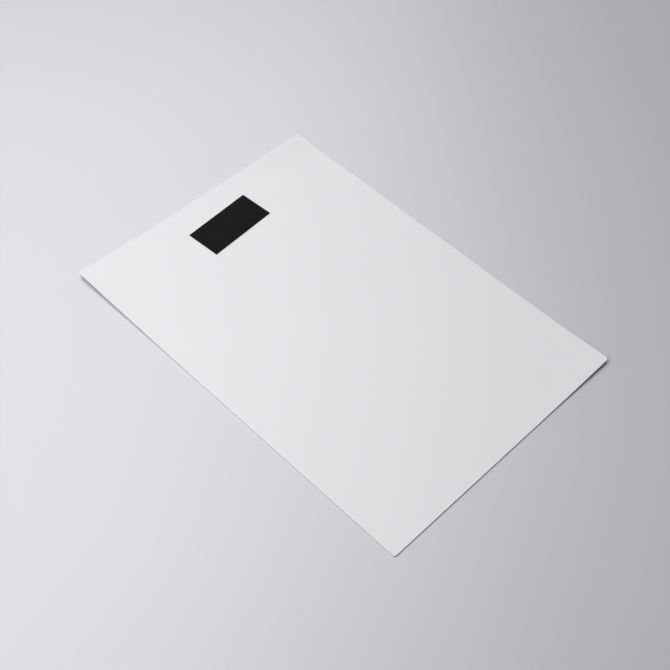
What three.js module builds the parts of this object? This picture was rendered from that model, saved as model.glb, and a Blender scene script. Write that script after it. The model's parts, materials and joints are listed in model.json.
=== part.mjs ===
// A flexible photovoltaic laminate of A4 format, lying with its sun side down and its white back up.
//
// Millimetres, +Z up. The origin is the middle of the sun side, so Z = 0 is the surface it lies on.
// +Y points to the end that carries the terminal, and X runs across the sheet.
//
// The sheet bends about lines across it. Each film is therefore a row of strips with a narrow slit
// at each bend line: one long strip at the terminal end, then equal spans down to the free end.
import * as THREE from "three";

// Outline of the sheet.
const SHEET_WIDTH = 210;
const SHEET_LENGTH = 297;
const CORNER_RADIUS = 1.5;
const CORNER_SEGMENTS = 6;

// Bend lines.
const TERMINAL_END_LENGTH = 72;
const BEND_COUNT = 5;
const SLIT = 0.4;

// Layers: the bottom and the top face of each, from the sun side up.
const FRONT_FILM = [0, 0.15];
const FRONT_ENCAPSULANT = [0.15, 0.3];
const CELL_SHEET = [0.3, 0.4];
const BUS_LEVEL = [0.4, 0.6];
const BACK_SHEET = [0.6, 0.85];
const EDGE_SEAL = [FRONT_FILM[1], BACK_SHEET[0]];

// Across the sheet: the seal runs round the edge, and the bus ribbons lie just inside it.
const SEAL_WIDTH = 6;
const RIBBON_WIDTH = 5;
const CORE_HALF_WIDTH = SHEET_WIDTH / 2 - SEAL_WIDTH;
const RIBBON_INNER_X = CORE_HALF_WIDTH - RIBBON_WIDTH;

// Terminal: a window in the back sheet over the inner ends of the two leads.
const TERMINAL_X = 3;
const TERMINAL_Y = 114;
const WINDOW_WIDTH = 28;
const WINDOW_HEIGHT = 12;
const LEAD_WIDTH = 5;
const LEAD_HALF_GAP = 5;
const BOARD_WIDTH = 27;
const BOARD_HEIGHT = 11;
const BOARD = [0.6, 0.7];
const PAD_SIDE = 6;
const PAD_OFFSET = 9;
const PAD = [0.6, 0.8];
const PAD_CLEARANCE = 0.2;

// Bypass diode: a flat body with one leg on each pad.
const DIODE_BODY = [0.71, 0.93];
const DIODE_LEG = [0.8, 0.86];
const DIODE_BODY_HALF_LENGTH = 4.5;
const DIODE_HALF_LENGTH = 8;
const DIODE_WIDTH = 4;

// Cover patch on its ring of adhesive, stuck on a little askew.
const PATCH_WIDTH = 55.5;
const PATCH_HEIGHT = 27;
const PATCH_TURN = THREE.MathUtils.degToRad(4);
const ADHESIVE_BORDER = 4;
const ADHESIVE = [0.85, 0.95];
const PATCH = [0.95, 1.15];

const finish = (color, roughness, metalness = 0) => ({ color, roughness, metalness });
const FINISHES = {
  frontFilm: finish(0x9fa6b4, 0.15),
  encapsulant: finish(0xcfd4d8, 0.4),
  cellSheet: finish(0x0d1120, 0.3),
  tinnedCopper: finish(0xc9c6c0, 0.35, 1),
  edgeSeal: finish(0xededec, 0.6),
  backSheet: finish(0xe4e4e8, 0.5),
  board: finish(0xb5772a, 0.45),
  pad: finish(0xc98a55, 0.35, 1),
  diode: finish(0x1b1b1d, 0.5),
  adhesive: finish(0xd8d6d0, 0.8),
  patch: finish(0x202020, 0.6),
};

const sheet = new THREE.Group();

// A flat piece: shape pulled up from the bottom to the top of its layer.
function flatPiece(name, shape, [bottom, top], look) {
  const geometry = new THREE.ExtrudeGeometry(shape, {
    depth: top - bottom,
    bevelEnabled: false,
    curveSegments: CORNER_SEGMENTS,
  });
  const mesh = new THREE.Mesh(geometry, new THREE.MeshStandardMaterial(look));
  mesh.name = name;
  mesh.position.z = bottom;
  return mesh;
}

function rectangle(left, near, right, far) {
  const shape = new THREE.Shape();
  shape.moveTo(left, near);
  shape.lineTo(right, near);
  shape.lineTo(right, far);
  shape.lineTo(left, far);
  shape.closePath();
  return shape;
}

// A rectangle about a middle point, as an outline or as a hole.
function centredRectangle(x, y, width, height) {
  return rectangle(x - width / 2, y - height / 2, x + width / 2, y + height / 2);
}

// Closes a shape whose last point is on its right side with the two round corners of an end.
function roundEnd(shape, halfWidth, end) {
  const radius = CORNER_RADIUS;
  shape.absarc(halfWidth - radius, end - radius, radius, 0, Math.PI / 2, false);
  shape.absarc(-halfWidth + radius, end - radius, radius, Math.PI / 2, Math.PI, false);
  shape.closePath();
  return shape;
}

// The outline of a full-width strip, from its slit side at y = 0 to y = length.
function filmStrip({ length, isEnd }) {
  const half = SHEET_WIDTH / 2;
  if (!isEnd) return rectangle(-half, 0, half, length);
  const shape = new THREE.Shape();
  shape.moveTo(-half, 0);
  shape.lineTo(half, 0);
  return roundEnd(shape, half, length);
}

// The outline of a strip that stops at the edge seal.
function coreStrip(strip, halfWidth) {
  return rectangle(-halfWidth, 0, halfWidth, coreLength(strip));
}

function coreLength({ length, isEnd }) {
  return isEnd ? length - SEAL_WIDTH : length;
}

// The seal round three sides of an end strip.
function endSeal({ length }) {
  const outer = SHEET_WIDTH / 2;
  const inner = CORE_HALF_WIDTH;
  const innerEnd = length - SEAL_WIDTH;
  const shape = new THREE.Shape();
  shape.moveTo(-outer, 0);
  shape.lineTo(-inner, 0);
  shape.lineTo(-inner, innerEnd);
  shape.lineTo(inner, innerEnd);
  shape.lineTo(inner, 0);
  shape.lineTo(outer, 0);
  return roundEnd(shape, outer, length);
}

// A rectangle with a notch cut in from each side, down to the two tips.
function notchedRectangle([left, near, right, far], [leftTip, notchNear, rightTip, notchFar]) {
  const shape = new THREE.Shape();
  shape.moveTo(left, near);
  shape.lineTo(right, near);
  shape.lineTo(right, notchNear);
  shape.lineTo(rightTip, notchNear);
  shape.lineTo(rightTip, notchFar);
  shape.lineTo(right, notchFar);
  shape.lineTo(right, far);
  shape.lineTo(left, far);
  shape.lineTo(left, notchFar);
  shape.lineTo(leftTip, notchFar);
  shape.lineTo(leftTip, notchNear);
  shape.lineTo(left, notchNear);
  shape.closePath();
  return shape;
}

// The rear encapsulant of the terminal end, open from both sides for the two leads.
function leadEncapsulant(strip) {
  const y = TERMINAL_Y - strip.slitY;
  const outline = [-RIBBON_INNER_X, 0, RIBBON_INNER_X, coreLength(strip)];
  const leftTip = TERMINAL_X - LEAD_HALF_GAP;
  const rightTip = TERMINAL_X + LEAD_HALF_GAP;
  return notchedRectangle(outline, [leftTip, y - LEAD_WIDTH / 2, rightTip, y + LEAD_WIDTH / 2]);
}

// The strips between the bend lines. slitY is the side at a bend line that the outline starts from,
// and a turned strip is drawn from there towards -Y.
function layOutStrips() {
  const end = SHEET_LENGTH / 2;
  const firstBend = end - TERMINAL_END_LENGTH;
  const span = (SHEET_LENGTH - TERMINAL_END_LENGTH) / BEND_COUNT;
  const strips = [
    { name: "terminal_end", slitY: firstBend + SLIT / 2, turned: false, isEnd: true },
  ];
  strips[0].length = end - strips[0].slitY;
  for (let i = 1; i < BEND_COUNT; i++) {
    const slitY = firstBend - i * span + SLIT / 2;
    strips.push({ name: `span_${i}`, slitY, turned: false, isEnd: false, length: span - SLIT });
  }
  const lastBend = firstBend - (BEND_COUNT - 1) * span;
  const slitY = lastBend - SLIT / 2;
  strips.push({ name: "free_end", slitY, turned: true, isEnd: true, length: slitY + end });
  return strips;
}

// Puts a piece drawn from a strip's slit side in its place.
function placeOnStrip(strip, mesh) {
  mesh.position.y = strip.slitY;
  mesh.rotation.z = strip.turned ? Math.PI : 0;
  sheet.add(mesh);
}

function addFilms(strip) {
  const back = filmStrip(strip);
  if (strip.name === "terminal_end") {
    const y = TERMINAL_Y - strip.slitY;
    back.holes.push(centredRectangle(TERMINAL_X, y, WINDOW_WIDTH, WINDOW_HEIGHT));
  }
  const front = filmStrip(strip);
  placeOnStrip(strip, flatPiece(`front_film_${strip.name}`, front, FRONT_FILM, FINISHES.frontFilm));
  placeOnStrip(strip, flatPiece(`back_sheet_${strip.name}`, back, BACK_SHEET, FINISHES.backSheet));
}

function addCore(strip) {
  const full = coreStrip(strip, CORE_HALF_WIDTH);
  const rear =
    strip.name === "terminal_end"
      ? leadEncapsulant(strip)
      : coreStrip(strip, RIBBON_INNER_X);
  const layers = [
    ["front_encapsulant", full, FRONT_ENCAPSULANT, FINISHES.encapsulant],
    ["cell_sheet", full, CELL_SHEET, FINISHES.cellSheet],
    ["rear_encapsulant", rear, BUS_LEVEL, FINISHES.encapsulant],
  ];
  for (const [kind, shape, layer, look] of layers) {
    placeOnStrip(strip, flatPiece(`${kind}_${strip.name}`, shape, layer, look));
  }
}

// Two ribbons per strip, on the rear of the cells along the two long sides.
function addBusRibbons(strip) {
  const shape = rectangle(RIBBON_INNER_X, 0, CORE_HALF_WIDTH, coreLength(strip));
  for (const [pole, side] of [["positive", 1], ["negative", -1]]) {
    const name = `bus_ribbon_${pole}_${strip.name}`;
    const mesh = flatPiece(name, shape, BUS_LEVEL, FINISHES.tinnedCopper);
    placeOnStrip(strip, mesh);
    // Moved as a whole, so that a turned strip keeps its poles on the same sides as its neighbours.
    const drawnSide = strip.turned ? -1 : 1;
    if (side !== drawnSide) mesh.position.x = side * (RIBBON_INNER_X + CORE_HALF_WIDTH);
  }
}

function addEdgeSeal(strip) {
  if (strip.isEnd) {
    const name = `edge_seal_${strip.name}`;
    placeOnStrip(strip, flatPiece(name, endSeal(strip), EDGE_SEAL, FINISHES.edgeSeal));
    return;
  }
  for (const [where, side] of [["right", 1], ["left", -1]]) {
    const x = (side * (CORE_HALF_WIDTH + SHEET_WIDTH / 2)) / 2;
    const shape = centredRectangle(x, strip.length / 2, SEAL_WIDTH, strip.length);
    const name = `edge_seal_${where}_${strip.name}`;
    placeOnStrip(strip, flatPiece(name, shape, EDGE_SEAL, FINISHES.edgeSeal));
  }
}

// The leads run from the bus ribbons to the window, and each pad stands on the end of one.
function addLeadsAndPads() {
  for (const [pole, side] of [["positive", 1], ["negative", -1]]) {
    const tip = TERMINAL_X + side * LEAD_HALF_GAP;
    const root = side * RIBBON_INNER_X;
    const near = TERMINAL_Y - LEAD_WIDTH / 2;
    const lead = rectangle(Math.min(tip, root), near, Math.max(tip, root), near + LEAD_WIDTH);
    const padX = TERMINAL_X + side * PAD_OFFSET;
    const pad = centredRectangle(padX, TERMINAL_Y, PAD_SIDE, PAD_SIDE);
    sheet.add(flatPiece(`bus_lead_${pole}`, lead, BUS_LEVEL, FINISHES.tinnedCopper));
    sheet.add(flatPiece(`contact_pad_${pole}`, pad, PAD, FINISHES.pad));
  }
}

// The board lies in the window and leaves each pad free at one of its ends.
function addTerminalBoard() {
  const halfWidth = BOARD_WIDTH / 2;
  const halfHeight = BOARD_HEIGHT / 2;
  const tip = PAD_OFFSET - PAD_SIDE / 2 - PAD_CLEARANCE;
  const notch = PAD_SIDE / 2 + PAD_CLEARANCE;
  const outline = [-halfWidth, -halfHeight, halfWidth, halfHeight];
  const board = notchedRectangle(outline, [-tip, -notch, tip, notch]);
  const mesh = flatPiece("terminal_board", board, BOARD, FINISHES.board);
  mesh.position.x = TERMINAL_X;
  mesh.position.y = TERMINAL_Y;
  sheet.add(mesh);
}

// The diode's side view, seen along +Y, pulled through its width.
function addBypassDiode() {
  const [bodyLow, bodyHigh] = DIODE_BODY;
  const [legLow, legHigh] = DIODE_LEG;
  const shape = new THREE.Shape();
  shape.moveTo(-DIODE_HALF_LENGTH, legLow);
  shape.lineTo(-DIODE_BODY_HALF_LENGTH, legLow);
  shape.lineTo(-DIODE_BODY_HALF_LENGTH, bodyLow);
  shape.lineTo(DIODE_BODY_HALF_LENGTH, bodyLow);
  shape.lineTo(DIODE_BODY_HALF_LENGTH, legLow);
  shape.lineTo(DIODE_HALF_LENGTH, legLow);
  shape.lineTo(DIODE_HALF_LENGTH, legHigh);
  shape.lineTo(DIODE_BODY_HALF_LENGTH, legHigh);
  shape.lineTo(DIODE_BODY_HALF_LENGTH, bodyHigh);
  shape.lineTo(-DIODE_BODY_HALF_LENGTH, bodyHigh);
  shape.lineTo(-DIODE_BODY_HALF_LENGTH, legHigh);
  shape.lineTo(-DIODE_HALF_LENGTH, legHigh);
  shape.closePath();
  const mesh = flatPiece("bypass_diode", shape, [0, DIODE_WIDTH], FINISHES.diode);
  mesh.position.set(TERMINAL_X, TERMINAL_Y + DIODE_WIDTH / 2, 0);
  mesh.rotation.x = Math.PI / 2;
  sheet.add(mesh);
}

function addCoverPatch() {
  const patch = centredRectangle(0, 0, PATCH_WIDTH, PATCH_HEIGHT);
  const ring = centredRectangle(0, 0, PATCH_WIDTH, PATCH_HEIGHT);
  const innerWidth = PATCH_WIDTH - 2 * ADHESIVE_BORDER;
  const innerHeight = PATCH_HEIGHT - 2 * ADHESIVE_BORDER;
  ring.holes.push(centredRectangle(0, 0, innerWidth, innerHeight));
  const askew = new THREE.Group();
  askew.position.set(TERMINAL_X, TERMINAL_Y, 0);
  askew.rotation.z = PATCH_TURN;
  askew.add(flatPiece("patch_adhesive", ring, ADHESIVE, FINISHES.adhesive));
  askew.add(flatPiece("cover_patch", patch, PATCH, FINISHES.patch));
  sheet.add(askew);
}

for (const strip of layOutStrips()) {
  addFilms(strip);
  addCore(strip);
  addBusRibbons(strip);
  addEdgeSeal(strip);
}
addLeadsAndPads();
addTerminalBoard();
addBypassDiode();
addCoverPatch();

export default sheet;
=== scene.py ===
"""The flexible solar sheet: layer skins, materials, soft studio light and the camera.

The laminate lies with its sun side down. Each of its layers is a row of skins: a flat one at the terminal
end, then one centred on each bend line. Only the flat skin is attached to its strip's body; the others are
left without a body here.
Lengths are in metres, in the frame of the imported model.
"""

import json
import math
from dataclasses import dataclass

import bmesh
import bpy
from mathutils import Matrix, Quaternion, Vector

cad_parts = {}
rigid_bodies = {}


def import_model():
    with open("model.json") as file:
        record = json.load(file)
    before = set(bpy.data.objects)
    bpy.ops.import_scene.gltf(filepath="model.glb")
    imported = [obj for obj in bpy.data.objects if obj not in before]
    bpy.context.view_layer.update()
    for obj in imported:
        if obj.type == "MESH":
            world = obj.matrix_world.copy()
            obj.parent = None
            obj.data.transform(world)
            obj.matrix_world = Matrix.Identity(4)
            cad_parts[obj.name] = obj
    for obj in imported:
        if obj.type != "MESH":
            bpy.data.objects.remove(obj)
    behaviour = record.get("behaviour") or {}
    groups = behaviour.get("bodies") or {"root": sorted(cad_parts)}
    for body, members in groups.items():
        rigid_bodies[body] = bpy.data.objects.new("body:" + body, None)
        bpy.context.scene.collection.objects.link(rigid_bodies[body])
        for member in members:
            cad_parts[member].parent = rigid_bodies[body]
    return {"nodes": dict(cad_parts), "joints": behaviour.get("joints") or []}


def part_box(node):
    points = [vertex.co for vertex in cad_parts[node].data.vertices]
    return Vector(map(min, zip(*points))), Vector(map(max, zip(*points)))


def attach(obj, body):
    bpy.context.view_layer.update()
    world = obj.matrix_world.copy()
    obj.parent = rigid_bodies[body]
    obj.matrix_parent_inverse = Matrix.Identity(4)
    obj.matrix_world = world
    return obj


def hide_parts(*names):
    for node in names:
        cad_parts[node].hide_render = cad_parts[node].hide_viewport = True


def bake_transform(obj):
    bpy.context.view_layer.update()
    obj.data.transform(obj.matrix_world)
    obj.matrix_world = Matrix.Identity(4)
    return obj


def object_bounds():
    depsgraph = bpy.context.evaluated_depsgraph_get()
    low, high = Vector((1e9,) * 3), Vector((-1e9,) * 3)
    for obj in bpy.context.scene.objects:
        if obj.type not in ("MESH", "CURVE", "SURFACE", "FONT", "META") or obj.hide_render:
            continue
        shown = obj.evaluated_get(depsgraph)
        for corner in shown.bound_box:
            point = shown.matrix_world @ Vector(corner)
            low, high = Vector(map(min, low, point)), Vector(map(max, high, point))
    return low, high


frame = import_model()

MM = 0.001
CAD_LOW, CAD_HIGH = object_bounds()

# ---------------------------------------------------------------------------------------------
# Driving sizes, read from the frame
# ---------------------------------------------------------------------------------------------

STRIPS = list(dict.fromkeys(n for j in frame["joints"] for n in (j["parent"], j["child"])))
BEND_YS = [j["pos_m"][1] for j in frame["joints"]]
SPAN = BEND_YS[0] - BEND_YS[1]
HALF_WIDTH = CAD_HIGH.x
HALF_LENGTH = CAD_HIGH.y
CORE_HALF_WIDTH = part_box("cell_sheet_span_1")[1].x
RIBBON_INNER_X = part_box("bus_ribbon_positive_span_1")[0].x
CORE_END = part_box("cell_sheet_terminal_end")[1].y
CORNER_RADIUS = 1.5 * MM
WORN_RADIUS = 3.0 * MM  # the corner at +X, -Y is worn rounder than the others


@dataclass(frozen=True)
class Curl:
    """A corner that stands off the floor: its place, how high it is and how far in the curl reaches."""

    x: float
    y: float
    height: float
    reach_across: float
    reach_along: float


CURLS = (
    Curl(-HALF_WIDTH, HALF_LENGTH, 2.7 * MM, 105 * MM, 132 * MM),
    Curl(HALF_WIDTH, HALF_LENGTH, 1.7 * MM, 144 * MM, 30 * MM),
    Curl(HALF_WIDTH, -HALF_LENGTH, 1.8 * MM, 85 * MM, 70 * MM),
)


def lift(x, y):
    """How far the resting sheet stands off the floor at a place on it."""
    height = 0.0
    for curl in CURLS:
        share = 1 - abs(x - curl.x) / curl.reach_across - abs(y - curl.y) / curl.reach_along
        height += curl.height * max(0.0, share) ** 2
    return height


# ---------------------------------------------------------------------------------------------
# Slabs: flat pieces cut from one shared grid, so that neighbouring layers curl and bend alike
# ---------------------------------------------------------------------------------------------

COLUMN = 5.5 * MM  # widest column of the grid
ROW = 2.5 * MM  # widest row
LAP = 0.15 * MM  # how far a skin runs on inside the next one, so that no slit opens when they bend
LAP_INSET = 0.002 * MM  # how far the lap is drawn in, so that it stays hidden
LAYER_GAP = 0.005 * MM  # taken off each inner face, so that two layers never share a face
EDGE_ROUND = 0.06 * MM  # rounding of the outer films' cut edges
ROUND_STEPS = (0.0, 0.3, 1.0)
CORNER_STEPS = 4
SHADE_ANGLE = math.radians(40)


def spaced(start, end, step):
    """Even stations from start to end, no further apart than step, without the last."""
    count = max(1, math.ceil(abs(end - start) / step - 1e-6))
    return [start + (end - start) * i / count for i in range(count)]


def side_stations(outer, inner):
    """Stations from the outer edge in to inner: the rounded edge, then the round corners."""
    step = CORNER_RADIUS / CORNER_STEPS
    fine = [outer - EDGE_ROUND * share for share in ROUND_STEPS]
    corner = spaced(fine[-1], outer - CORNER_RADIUS, step)[1:]
    worn = spaced(outer - CORNER_RADIUS, outer - WORN_RADIUS, step)
    return fine + corner + worn + [outer - WORN_RADIUS, inner]


def column_lines():
    """The grid's x stations from -X to +X, with lines at the seal, the ribbons and the edges."""
    right = side_stations(HALF_WIDTH, CORE_HALF_WIDTH) + spaced(RIBBON_INNER_X, 0, COLUMN)
    lines = {s * x for x in right for s in (-1, 1)} | {0.0} | TERMINAL_COLUMNS
    return sorted({round(x, 8) for x in lines})


def row_lines(low, high):
    """The grid's y stations from low to high."""
    lines = {low, high} | TERMINAL_ROWS
    for sign in (-1, 1):
        lines.update(sign * y for y in side_stations(HALF_LENGTH, CORE_END))
    lines.update(spaced(BEND_YS[0], CORE_END, ROW))
    lines.update(spaced(BEND_YS[0], -CORE_END, SPAN / math.ceil(SPAN / ROW)))
    near = 1e-7
    return sorted({round(y, 8) for y in lines if low - near <= y <= high + near})


def corner_radius(x, y):
    """The radius of the corner in whose quarter of the sheet a place lies."""
    return WORN_RADIUS if x > 0 > y else CORNER_RADIUS


def in_corner(x, y):
    """Moves a grid point of a corner square onto the round corner."""
    radius = corner_radius(x, y)
    cx, cy = HALF_WIDTH - radius, HALF_LENGTH - radius
    if abs(x) <= cx or abs(y) <= cy:
        return x, y
    p = (abs(x) - cx) / radius
    q = (abs(y) - cy) / radius
    round_x = cx + radius * p * math.sqrt(1 - q * q / 2)
    round_y = cy + radius * q * math.sqrt(1 - p * p / 2)
    return math.copysign(round_x, x), math.copysign(round_y, y)


def edge_distance(x, y):
    """How far a place on the sheet is from the sheet's outline."""
    radius = corner_radius(x, y)
    cx, cy = HALF_WIDTH - radius, HALF_LENGTH - radius
    if abs(x) > cx and abs(y) > cy:
        return radius - math.hypot(abs(x) - cx, abs(y) - cy)
    return min(HALF_WIDTH - abs(x), HALF_LENGTH - abs(y))


def edge_drop(x, y):
    """How far a rounded edge has come down from the flat face, at a place near the outline."""
    inside = max(0.0, edge_distance(x, y))
    if inside >= EDGE_ROUND:
        return 0.0
    return EDGE_ROUND - math.sqrt(EDGE_ROUND**2 - (EDGE_ROUND - inside) ** 2)


def slab(name, low, high, z_low, z_high, holds, rounded=False, lapped=False):
    """A closed slab over the grid cells between two rows whose middles holds() accepts.

    Its rest coordinates go into the UV map "rest", so that a pattern stays put when the slab bends.
    A lapped slab runs on past its low row, inside its neighbour."""
    xs, ys = column_lines(), row_lines(low, high)
    if lapped:
        ys.insert(0, low - LAP)
    cells = [
        (i, j)
        for j in range(len(ys) - 1)
        for i in range(len(xs) - 1)
        if holds((xs[i] + xs[i + 1]) / 2, (ys[j] + ys[j + 1]) / 2)
    ]
    vertices, rest, index = [], [], {}

    def vertex(i, j, top):
        key = (i, j, top)
        if key not in index:
            x, y = in_corner(xs[i], ys[j])
            drop = edge_drop(x, y) if rounded else 0.0
            if lapped and j == 0:
                drop += LAP_INSET
                x -= math.copysign(LAP_INSET, x)
            z = z_high - drop if top else z_low + drop
            index[key] = len(vertices)
            vertices.append((x, y, z + lift(x, y)))
            rest.append((x, y))
        return index[key]

    faces = []
    border = {}
    for i, j in cells:
        ring = [(i, j), (i + 1, j), (i + 1, j + 1), (i, j + 1)]
        faces.append([vertex(a, b, True) for a, b in ring])
        faces.append([vertex(a, b, False) for a, b in reversed(ring)])
        for start, end in zip(ring, ring[1:] + ring[:1]):
            if (end, start) in border:
                del border[end, start]
            else:
                border[start, end] = True
    for start, end in border:
        faces.append([vertex(*start, False), vertex(*end, False), vertex(*end, True), vertex(*start, True)])
    mesh = bpy.data.meshes.new(name)
    mesh.from_pydata(vertices, [], faces)
    uv = mesh.uv_layers.new(name="rest")
    for loop in mesh.loops:
        uv.data[loop.index].uv = rest[loop.vertex_index]
    mesh.shade_smooth()
    mesh.set_sharp_from_angle(angle=SHADE_ANGLE)
    made = bpy.data.objects.new(name, mesh)
    bpy.context.scene.collection.objects.link(made)
    return made


# ---------------------------------------------------------------------------------------------
# Materials
# ---------------------------------------------------------------------------------------------


class Nodes:
    """A short way to write a material's nodes."""

    def __init__(self, name):
        self.material = bpy.data.materials.new(name)
        self.material.use_nodes = True
        self.tree = self.material.node_tree
        self.shader = self.tree.nodes["Principled BSDF"]

    def add(self, kind, inputs=None, **settings):
        made = self.tree.nodes.new("ShaderNode" + kind)
        for key, value in settings.items():
            setattr(made, key, value)
        self.feed(made, inputs or {})
        return made

    def feed(self, node, inputs):
        for key, value in inputs.items():
            if isinstance(value, bpy.types.NodeSocket):
                self.tree.links.new(value, node.inputs[key])
            else:
                node.inputs[key].default_value = value

    def set(self, **inputs):
        self.feed(self.shader, {key.replace("_", " "): value for key, value in inputs.items()})

    def math(self, operation, *values):
        return self.add("Math", dict(enumerate(values)), operation=operation).outputs[0]

    def ramp(self, value, low, high, to_low=0.0, to_high=1.0):
        """value, taken from low..high to to_low..to_high and held there beyond."""
        inputs = {0: value, 1: low, 2: high, 3: to_low, 4: to_high}
        return self.add("MapRange", inputs).outputs[0]

    def noise(self, where, scale, detail=2.0, roughness=0.5):
        inputs = {"Vector": where, "Scale": scale, "Detail": detail, "Roughness": roughness}
        return self.add("TexNoise", inputs).outputs[0]

    def mix(self, factor, first, second):
        made = self.add("Mix", data_type="RGBA")
        self.feed(made, {0: factor, 6: first, 7: second})
        return made.outputs[2]

    def bump(self, height, distance, strength=1.0, normal=None):
        inputs = {"Height": height, "Distance": distance, "Strength": strength}
        if normal is not None:
            inputs["Normal"] = normal
        return self.add("Bump", inputs).outputs[0]

    def rest(self):
        """Where a point is on the flat sheet, in metres."""
        return self.add("UVMap", uv_map="rest").outputs[0]

    def solid(self):
        """Where a point of a rigid piece is, in metres."""
        return self.add("TexCoord").outputs["Object"]


def outline_share(nodes, where, width):
    """1 at the sheet's outline, falling to 0 at width inside it."""
    place = nodes.add("SeparateXYZ", {0: where})
    across = nodes.math("SUBTRACT", nodes.math("ABSOLUTE", place.outputs[0]), HALF_WIDTH)
    along = nodes.math("SUBTRACT", nodes.math("ABSOLUTE", place.outputs[1]), HALF_LENGTH)
    return nodes.ramp(nodes.math("MAXIMUM", across, along), -width, 0.0)


def back_sheet_material():
    """White polyester film: satin, a fine grain and a faint unevenness. The band at its cut edge is painted
    lighter and pinkish: painted light that brightens the edge against its shade.
    """
    n = Nodes("back_sheet_white")
    where = n.rest()
    broad = n.noise(where, 9.0, 3.0)
    grain = n.noise(where, 2600.0, 2.0)
    swell = n.noise(where, 160.0, 3.0)
    white = n.mix(n.ramp(broad, 0.3, 0.7), (0.785, 0.775, 0.799, 1), (0.800, 0.790, 0.813, 1))
    flecked = n.mix(n.ramp(grain, 0.25, 0.75), white, (0.81, 0.80, 0.82, 1))
    # painted light: the band within 0.5 mm of the outline is lighter and pinkish, lifting the cut edge out
    # of its shade
    colour = n.mix(outline_share(n, where, 0.5 * MM), flecked, (0.88, 0.86, 0.87, 1))
    rough = n.ramp(n.noise(where, 700.0, 3.0), 0.3, 0.7, 0.54, 0.64)
    normal = n.bump(swell, 0.03 * MM)
    normal = n.bump(grain, 0.006 * MM, normal=normal)
    n.set(Base_Color=colour, Roughness=rough, Normal=normal, IOR=1.46)
    return n.material


def front_film_material():
    """Clear barrier film: glossy, nearly see-through."""
    n = Nodes("front_film_clear")
    where = n.rest()
    haze = n.noise(where, 45.0, 3.0)
    colour = n.mix(n.ramp(haze, 0.3, 0.7), (0.05, 0.055, 0.07, 1), (0.07, 0.08, 0.10, 1))
    rough = n.ramp(n.noise(where, 260.0, 2.0), 0.3, 0.7, 0.10, 0.17)
    normal = n.bump(n.noise(where, 120.0, 2.0), 0.02 * MM)
    n.set(Base_Color=colour, Roughness=rough, Normal=normal, Alpha=0.2)
    return n.material


def encapsulant_material():
    """Clear soft adhesive between the films."""
    n = Nodes("encapsulant_clear")
    where = n.rest()
    colour = n.mix(n.noise(where, 60.0), (0.30, 0.31, 0.31, 1), (0.38, 0.39, 0.38, 1))
    rough = n.ramp(n.noise(where, 300.0), 0.3, 0.7, 0.35, 0.5)
    n.set(Base_Color=colour, Roughness=rough, Alpha=0.08)
    return n.material


CELL_PITCH = 9.4 * MM
SCRIBE_AT = 0.45 * MM  # where in its cell a scribe's middle lies
SCRIBE_HALF_WIDTH = 0.225 * MM
SCRIBE_SOLID = 0.7  # the share of the half width that is fully scribed
WELD_PITCH = 10 * MM
WELD_RADIUS = 0.9 * MM
WELD_SOLID_RADIUS = 0.6 * MM


def cell_sheet_material():
    """Thin-film cells: blue-black stripes along the sheet, parted by scribes. A printed bus on each side."""
    n = Nodes("cell_sheet_blue_black")
    where = n.rest()
    place = n.add("SeparateXYZ", {0: where})
    x, y = place.outputs[0], place.outputs[1]
    cell = n.math("DIVIDE", x, CELL_PITCH)
    number = n.math("FLOOR", cell)
    shade = n.add("TexWhiteNoise", {"W": number}, noise_dimensions="1D").outputs[0]
    stretched = n.add("Mapping", {"Vector": where, "Scale": (60.0, 9.0, 1.0)}).outputs[0]
    streaks = n.noise(stretched, 1.0, 4.0)
    blue = n.mix(streaks, (0.009, 0.014, 0.042, 1), (0.026, 0.030, 0.085, 1))
    violet = n.mix(n.math("MULTIPLY", shade, 0.5), blue, (0.030, 0.017, 0.062, 1))
    within = n.math("MULTIPLY", n.math("FRACT", cell), CELL_PITCH)
    from_scribe = n.math("ABSOLUTE", n.math("SUBTRACT", within, SCRIBE_AT))
    scribe = n.ramp(from_scribe, SCRIBE_HALF_WIDTH * SCRIBE_SOLID, SCRIBE_HALF_WIDTH, 1.0, 0.0)
    scribed = n.mix(scribe, violet, (0.34, 0.31, 0.27, 1))
    printed = n.math("GREATER_THAN", n.math("ABSOLUTE", x), RIBBON_INNER_X)
    middle = (RIBBON_INNER_X + CORE_HALF_WIDTH) / 2
    weld_across = n.math("SUBTRACT", n.math("ABSOLUTE", x), middle)
    weld_turn = n.math("SUBTRACT", n.math("FRACT", n.math("DIVIDE", y, WELD_PITCH)), 0.5)
    weld_along = n.math("MULTIPLY", weld_turn, WELD_PITCH)
    squares = [n.math("POWER", part, 2.0) for part in (weld_across, weld_along)]
    from_weld = n.math("SQRT", n.math("ADD", *squares))
    weld = n.ramp(from_weld, WELD_SOLID_RADIUS, WELD_RADIUS, 1.0, 0.0)
    silver = n.mix(weld, (0.50, 0.49, 0.47, 1), (0.22, 0.215, 0.21, 1))
    colour = n.mix(printed, scribed, silver)
    metal = n.math("MULTIPLY", printed, 0.75)
    rough = n.ramp(n.noise(where, 400.0, 2.0), 0.3, 0.7, 0.28, 0.40)
    height = n.math("SUBTRACT", n.noise(where, 500.0, 2.0), n.math("ADD", scribe, weld))
    normal = n.bump(height, 0.01 * MM)
    n.set(Base_Color=colour, Roughness=rough, Metallic=metal, Normal=normal)
    n.set(Coat_Weight=0.8, Coat_Roughness=0.12)
    return n.material


def metal_material(name, dark, light, roughness, on_slab=False):
    """Rolled metal strip with a faint grain along it."""
    n = Nodes(name)
    where = n.rest() if on_slab else n.solid()
    rolled = n.add("Mapping", {"Vector": where, "Scale": (900.0, 60.0, 900.0)}).outputs[0]
    grain = n.noise(rolled, 1.0, 3.0)
    rough = n.ramp(grain, 0.3, 0.7, roughness - 0.06, roughness + 0.08)
    n.set(Base_Color=n.mix(grain, dark, light), Roughness=rough, Metallic=1.0)
    n.set(Normal=n.bump(grain, 0.005 * MM))
    return n.material


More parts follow.
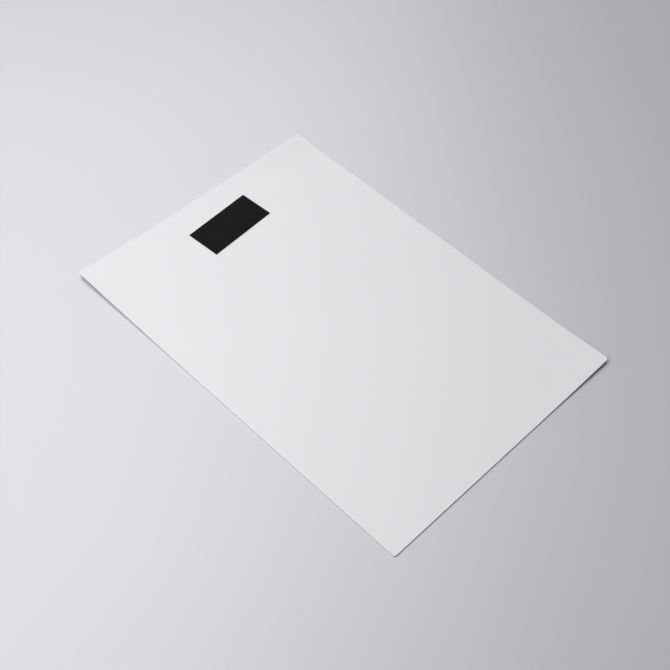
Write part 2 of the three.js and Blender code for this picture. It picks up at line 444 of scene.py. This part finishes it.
def moulded_material(name, dark, light, roughness, specular=0.5, on_slab=False):
    """Plain plastic, rubber or film, with a mottled colour and a fine grain."""
    n = Nodes(name)
    where = n.rest() if on_slab else n.solid()
    mottle = n.ramp(n.noise(where, 120.0, 3.0), 0.3, 0.7)
    grain = n.noise(where, 1800.0, 3.0)
    rough = n.ramp(grain, 0.3, 0.7, roughness - 0.06, roughness + 0.06)
    n.set(Base_Color=n.mix(mottle, dark, light), Roughness=rough, Normal=n.bump(grain, 0.01 * MM))
    n.set(Specular_IOR_Level=specular)
    return n.material


def greys(dark, light):
    """Two nearly neutral colours, a little warm, between which a material varies."""
    return (dark, dark, dark * 0.985, 1), (light, light, light * 0.985, 1)


MATERIALS = {
    "back_sheet": back_sheet_material(),
    "front_film": front_film_material(),
    "encapsulant": encapsulant_material(),
    "cell_sheet": cell_sheet_material(),
    "tinned_copper": metal_material("tinned_copper", *greys(0.50, 0.65), 0.36, on_slab=True),
    "contact_pad": metal_material("bare_copper", (0.62, 0.33, 0.19, 1), (0.76, 0.44, 0.28, 1), 0.34),
    "edge_seal": moulded_material("edge_seal_white", *greys(0.90, 0.93), 0.6, on_slab=True),
    "terminal_board": moulded_material("board_amber", (0.34, 0.15, 0.03, 1), (0.45, 0.21, 0.05, 1), 0.4),
    "diode": moulded_material("diode_black", *greys(0.012, 0.021), 0.45),
    "patch_adhesive": moulded_material("adhesive_white", *greys(0.60, 0.67), 0.7),
    "cover_patch": moulded_material("patch_black", *greys(0.0073, 0.0103), 0.75, specular=0.08),
}


def finish_with(piece, slot):
    """Gives a piece the material of a slot of the record."""
    piece.data.materials.clear()
    piece.data.materials.append(MATERIALS[slot])


# ---------------------------------------------------------------------------------------------
# The layers
# ---------------------------------------------------------------------------------------------


def everywhere(x, y):
    return True


def in_core(x, y):
    return abs(x) < CORE_HALF_WIDTH and abs(y) < CORE_END


def in_seal(x, y):
    return not in_core(x, y)


def on_ribbon(side):
    return lambda x, y: in_core(x, y) and side * x > RIBBON_INNER_X


LEADS = {"positive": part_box("bus_lead_positive"), "negative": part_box("bus_lead_negative")}
WINDOW_CLEARANCE = Vector((0.5 * MM, 0.5 * MM, 0))  # left free round the terminal board in its window
BOARD_LOW, BOARD_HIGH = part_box("terminal_board")
WINDOW = (BOARD_LOW - WINDOW_CLEARANCE, BOARD_HIGH + WINDOW_CLEARANCE)
TERMINAL_COLUMNS = {corner.x for box in (*LEADS.values(), WINDOW) for corner in box}
TERMINAL_ROWS = {corner.y for box in (*LEADS.values(), WINDOW) for corner in box}


def inside(box):
    low, high = box
    return lambda x, y: low.x < x < high.x and low.y < y < high.y


def outside_window(x, y):
    return not inside(WINDOW)(x, y)


def in_rear_core(x, y):
    on_lead = any(inside(box)(x, y) for box in LEADS.values())
    return abs(x) < RIBBON_INNER_X and abs(y) < CORE_END and not on_lead


@dataclass(frozen=True)
class Layer:
    """One film of the laminate: the stem of its nodes' names, its slot, and which places it covers."""

    stem: str
    slot: str
    holds: object
    rounded: bool = False


LAYERS = (
    Layer("front_film", "front_film", everywhere, rounded=True),
    Layer("front_encapsulant", "encapsulant", in_core),
    Layer("cell_sheet", "cell_sheet", in_core),
    Layer("bus_ribbon_positive", "tinned_copper", on_ribbon(1)),
    Layer("bus_ribbon_negative", "tinned_copper", on_ribbon(-1)),
    Layer("rear_encapsulant", "encapsulant", in_rear_core),
    Layer("edge_seal", "edge_seal", in_seal),
    Layer("back_sheet", "back_sheet", outside_window, rounded=True),
)


def nodes_of(stem, strip):
    """The CAD nodes of a layer on one strip: one node, or one on each side."""
    endings = (f"{stem}_{strip}", f"{stem}_left_{strip}", f"{stem}_right_{strip}")
    return [name for name in endings if name in frame["nodes"]]


def skin_rows(index):
    """The low and the high row of skin number index. The first is the flat terminal end."""
    if index == 0:
        return BEND_YS[0], HALF_LENGTH
    bend_y = BEND_YS[index - 1]
    low = -HALF_LENGTH if index == len(BEND_YS) else bend_y - SPAN / 2
    high = bend_y if index == 1 else bend_y + SPAN / 2
    return low, high


def levels(stem):
    """The bottom and top of a layer, drawn in a little where another layer touches it."""
    low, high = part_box(nodes_of(stem, STRIPS[1])[0])
    bottom = low.z if low.z <= CAD_LOW.z else low.z + LAYER_GAP
    top = high.z if stem == "back_sheet" else high.z - LAYER_GAP
    return bottom, top


def add_skins(layer):
    bottom, top = levels(layer.stem)
    for index, strip in enumerate(STRIPS):
        low, high = skin_rows(index)
        is_last = index == len(BEND_YS)
        name = f"{layer.stem}_skin_{index + 1}"
        skin = slab(name, low, high, bottom, top, layer.holds, layer.rounded, lapped=not is_last)
        finish_with(skin, layer.slot)
        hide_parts(*nodes_of(layer.stem, strip))
        if index == 0:
            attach(skin, strip)
            continue
        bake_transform(skin)


def add_leads():
    """The leads lie in the curled end, so they are slabs too."""
    for pole, (low, high) in LEADS.items():
        node = f"bus_lead_{pole}"
        bottom, top = low.z + LAYER_GAP, high.z - LAYER_GAP
        lead = slab(f"{node}_strip", low.y, high.y, bottom, top, inside(LEADS[pole]))
        finish_with(lead, "tinned_copper")
        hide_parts(node)
        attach(lead, STRIPS[0])


for layer in LAYERS:
    add_skins(layer)
add_leads()

# ---------------------------------------------------------------------------------------------
# The terminal
# ---------------------------------------------------------------------------------------------

FLAT_ANGLE = math.radians(1)  # faces that meet flatter than this are joined
MERGE_DISTANCE = 0.001 * MM
BEVEL_STEPS = 3


def add_rounded(node, slot, width):
    """A copy of a CAD node with its hard edges rounded, laid on the curled sheet."""
    shape = bmesh.new()
    shape.from_mesh(frame["nodes"][node].data)
    bmesh.ops.remove_doubles(shape, verts=shape.verts, dist=MERGE_DISTANCE)
    bmesh.ops.dissolve_limit(shape, angle_limit=FLAT_ANGLE, verts=shape.verts, edges=shape.edges)
    hard = [edge for edge in shape.edges if edge.calc_face_angle(0.0) > SHADE_ANGLE]
    bmesh.ops.bevel(shape, geom=hard, offset=width, segments=BEVEL_STEPS, profile=0.5, affect="EDGES")
    for vertex in shape.verts:
        vertex.co.z += lift(vertex.co.x, vertex.co.y)
    mesh = bpy.data.meshes.new(f"{node}_rounded")
    shape.to_mesh(mesh)
    shape.free()
    mesh.shade_smooth()
    mesh.set_sharp_from_angle(angle=SHADE_ANGLE)
    piece = bpy.data.objects.new(mesh.name, mesh)
    bpy.context.scene.collection.objects.link(piece)
    finish_with(piece, slot)
    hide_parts(node)
    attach(piece, STRIPS[0])


add_rounded("terminal_board", "terminal_board", 0.02 * MM)
add_rounded("contact_pad_positive", "contact_pad", 0.04 * MM)
add_rounded("contact_pad_negative", "contact_pad", 0.04 * MM)
add_rounded("bypass_diode", "diode", 0.02 * MM)
add_rounded("patch_adhesive", "patch_adhesive", 0.02 * MM)
add_rounded("cover_patch", "cover_patch", 0.05 * MM)

# ---------------------------------------------------------------------------------------------
# Floor, light and camera
# ---------------------------------------------------------------------------------------------

FLOOR_SIDE = 60.0
ROOM_LIGHT = ((0.0, 0.12), (0.16, 0.24), (0.5, 0.11))  # the sine of the elevation, and the light there
ROOM_TINT = (0.93, 0.94, 1.0)
FLOOR_DROP = 0.01 * MM


def floor_material():
    """Pale satin tabletop, faintly mottled."""
    n = Nodes("floor_pale")
    where = n.solid()
    soft = n.ramp(n.noise(where, 3.0, 3.0), 0.3, 0.7)
    grain = n.noise(where, 900.0, 2.0)
    colour = n.mix(soft, (0.555, 0.551, 0.585, 1), (0.573, 0.569, 0.603, 1))
    n.set(Base_Color=colour, Roughness=n.ramp(grain, 0.3, 0.7, 0.38, 0.44), IOR=1.62, Specular_IOR_Level=1.0)
    n.set(Normal=n.bump(grain, 0.01 * MM))
    return n.material


def direction(azimuth, elevation):
    """The unit vector towards an azimuth, from +Y towards +X, and an elevation, in degrees."""
    turn, rise = math.radians(azimuth), math.radians(elevation)
    level = math.cos(rise)
    return Vector((math.sin(turn) * level, math.cos(turn) * level, math.sin(rise)))


def add_floor():
    half = FLOOR_SIDE / 2
    corners = [(-half, -half), (half, -half), (half, half), (-half, half)]
    mesh = bpy.data.meshes.new("floor")
    mesh.from_pydata([(x, y, CAD_LOW.z - FLOOR_DROP) for x, y in corners], [], [(0, 1, 2, 3)])
    mesh.materials.append(floor_material())
    floor = bpy.data.objects.new("floor", mesh)
    bpy.context.scene.collection.objects.link(floor)


def add_softbox(name, azimuth, elevation, distance, side, power):
    """A square light that faces the sheet's middle. The azimuth turns from +Y towards +X."""
    data = bpy.data.lights.new(name, "AREA")
    data.shape = "SQUARE"
    data.size = side
    data.energy = power
    light = bpy.data.objects.new(name, data)
    away = direction(azimuth, elevation)
    light.location = away * distance
    light.rotation_mode = "QUATERNION"
    light.rotation_quaternion = (-away).to_track_quat("-Z", "Y")
    bpy.context.scene.collection.objects.link(light)


def add_world():
    """A dim room: the walls rise out of the floor's own tone, glow, and fade to the ceiling."""
    world = bpy.data.worlds.new("studio")
    world.use_nodes = True
    tree = world.node_tree
    where = tree.nodes.new("ShaderNodeTexCoord")
    split = tree.nodes.new("ShaderNodeSeparateXYZ")
    fade = tree.nodes.new("ShaderNodeValToRGB")
    tree.links.new(where.outputs["Generated"], split.inputs[0])
    tree.links.new(split.outputs[2], fade.inputs[0])
    stops = fade.color_ramp
    stops.interpolation = "EASE"
    while len(stops.elements) < len(ROOM_LIGHT):
        stops.elements.new(1.0)
    for stop, (rise, glow) in zip(stops.elements, ROOM_LIGHT):
        stop.position = rise
        stop.color = (*(part * glow for part in ROOM_TINT), 1)
    tree.links.new(fade.outputs[0], tree.nodes["Background"].inputs["Color"])
    bpy.context.scene.world = world


CAMERA_AIM = Vector((-13.6 * MM, -8.7 * MM, 0.85 * MM))
CAMERA_DISTANCE = 0.785
CAMERA_AZIMUTH = 48.84  # where it looks, from +Y towards +X
CAMERA_TILT = -51.94
CAMERA_ROLL = 4.52
CAMERA_LENS_MM = 63.0


def add_camera():
    data = bpy.data.cameras.new("camera")
    data.lens = CAMERA_LENS_MM
    data.sensor_width = 36.0
    camera = bpy.data.objects.new("camera", data)
    forward = direction(CAMERA_AZIMUTH, CAMERA_TILT)
    camera.location = CAMERA_AIM - forward * CAMERA_DISTANCE
    roll = Quaternion((0, 0, 1), math.radians(CAMERA_ROLL))
    camera.rotation_mode = "QUATERNION"
    camera.rotation_quaternion = forward.to_track_quat("-Z", "Y") @ roll
    bpy.context.scene.collection.objects.link(camera)
    bpy.context.scene.camera = camera


bpy.context.scene.view_settings.view_transform = "Standard"
add_floor()
add_world()
add_softbox("key", azimuth=-60, elevation=40, distance=1.4, side=0.8, power=9.8)
add_softbox("over", azimuth=-60, elevation=70, distance=0.8, side=0.6, power=1.8)
add_softbox("back", azimuth=30, elevation=50, distance=2.5, side=1.8, power=27.9)
add_camera()
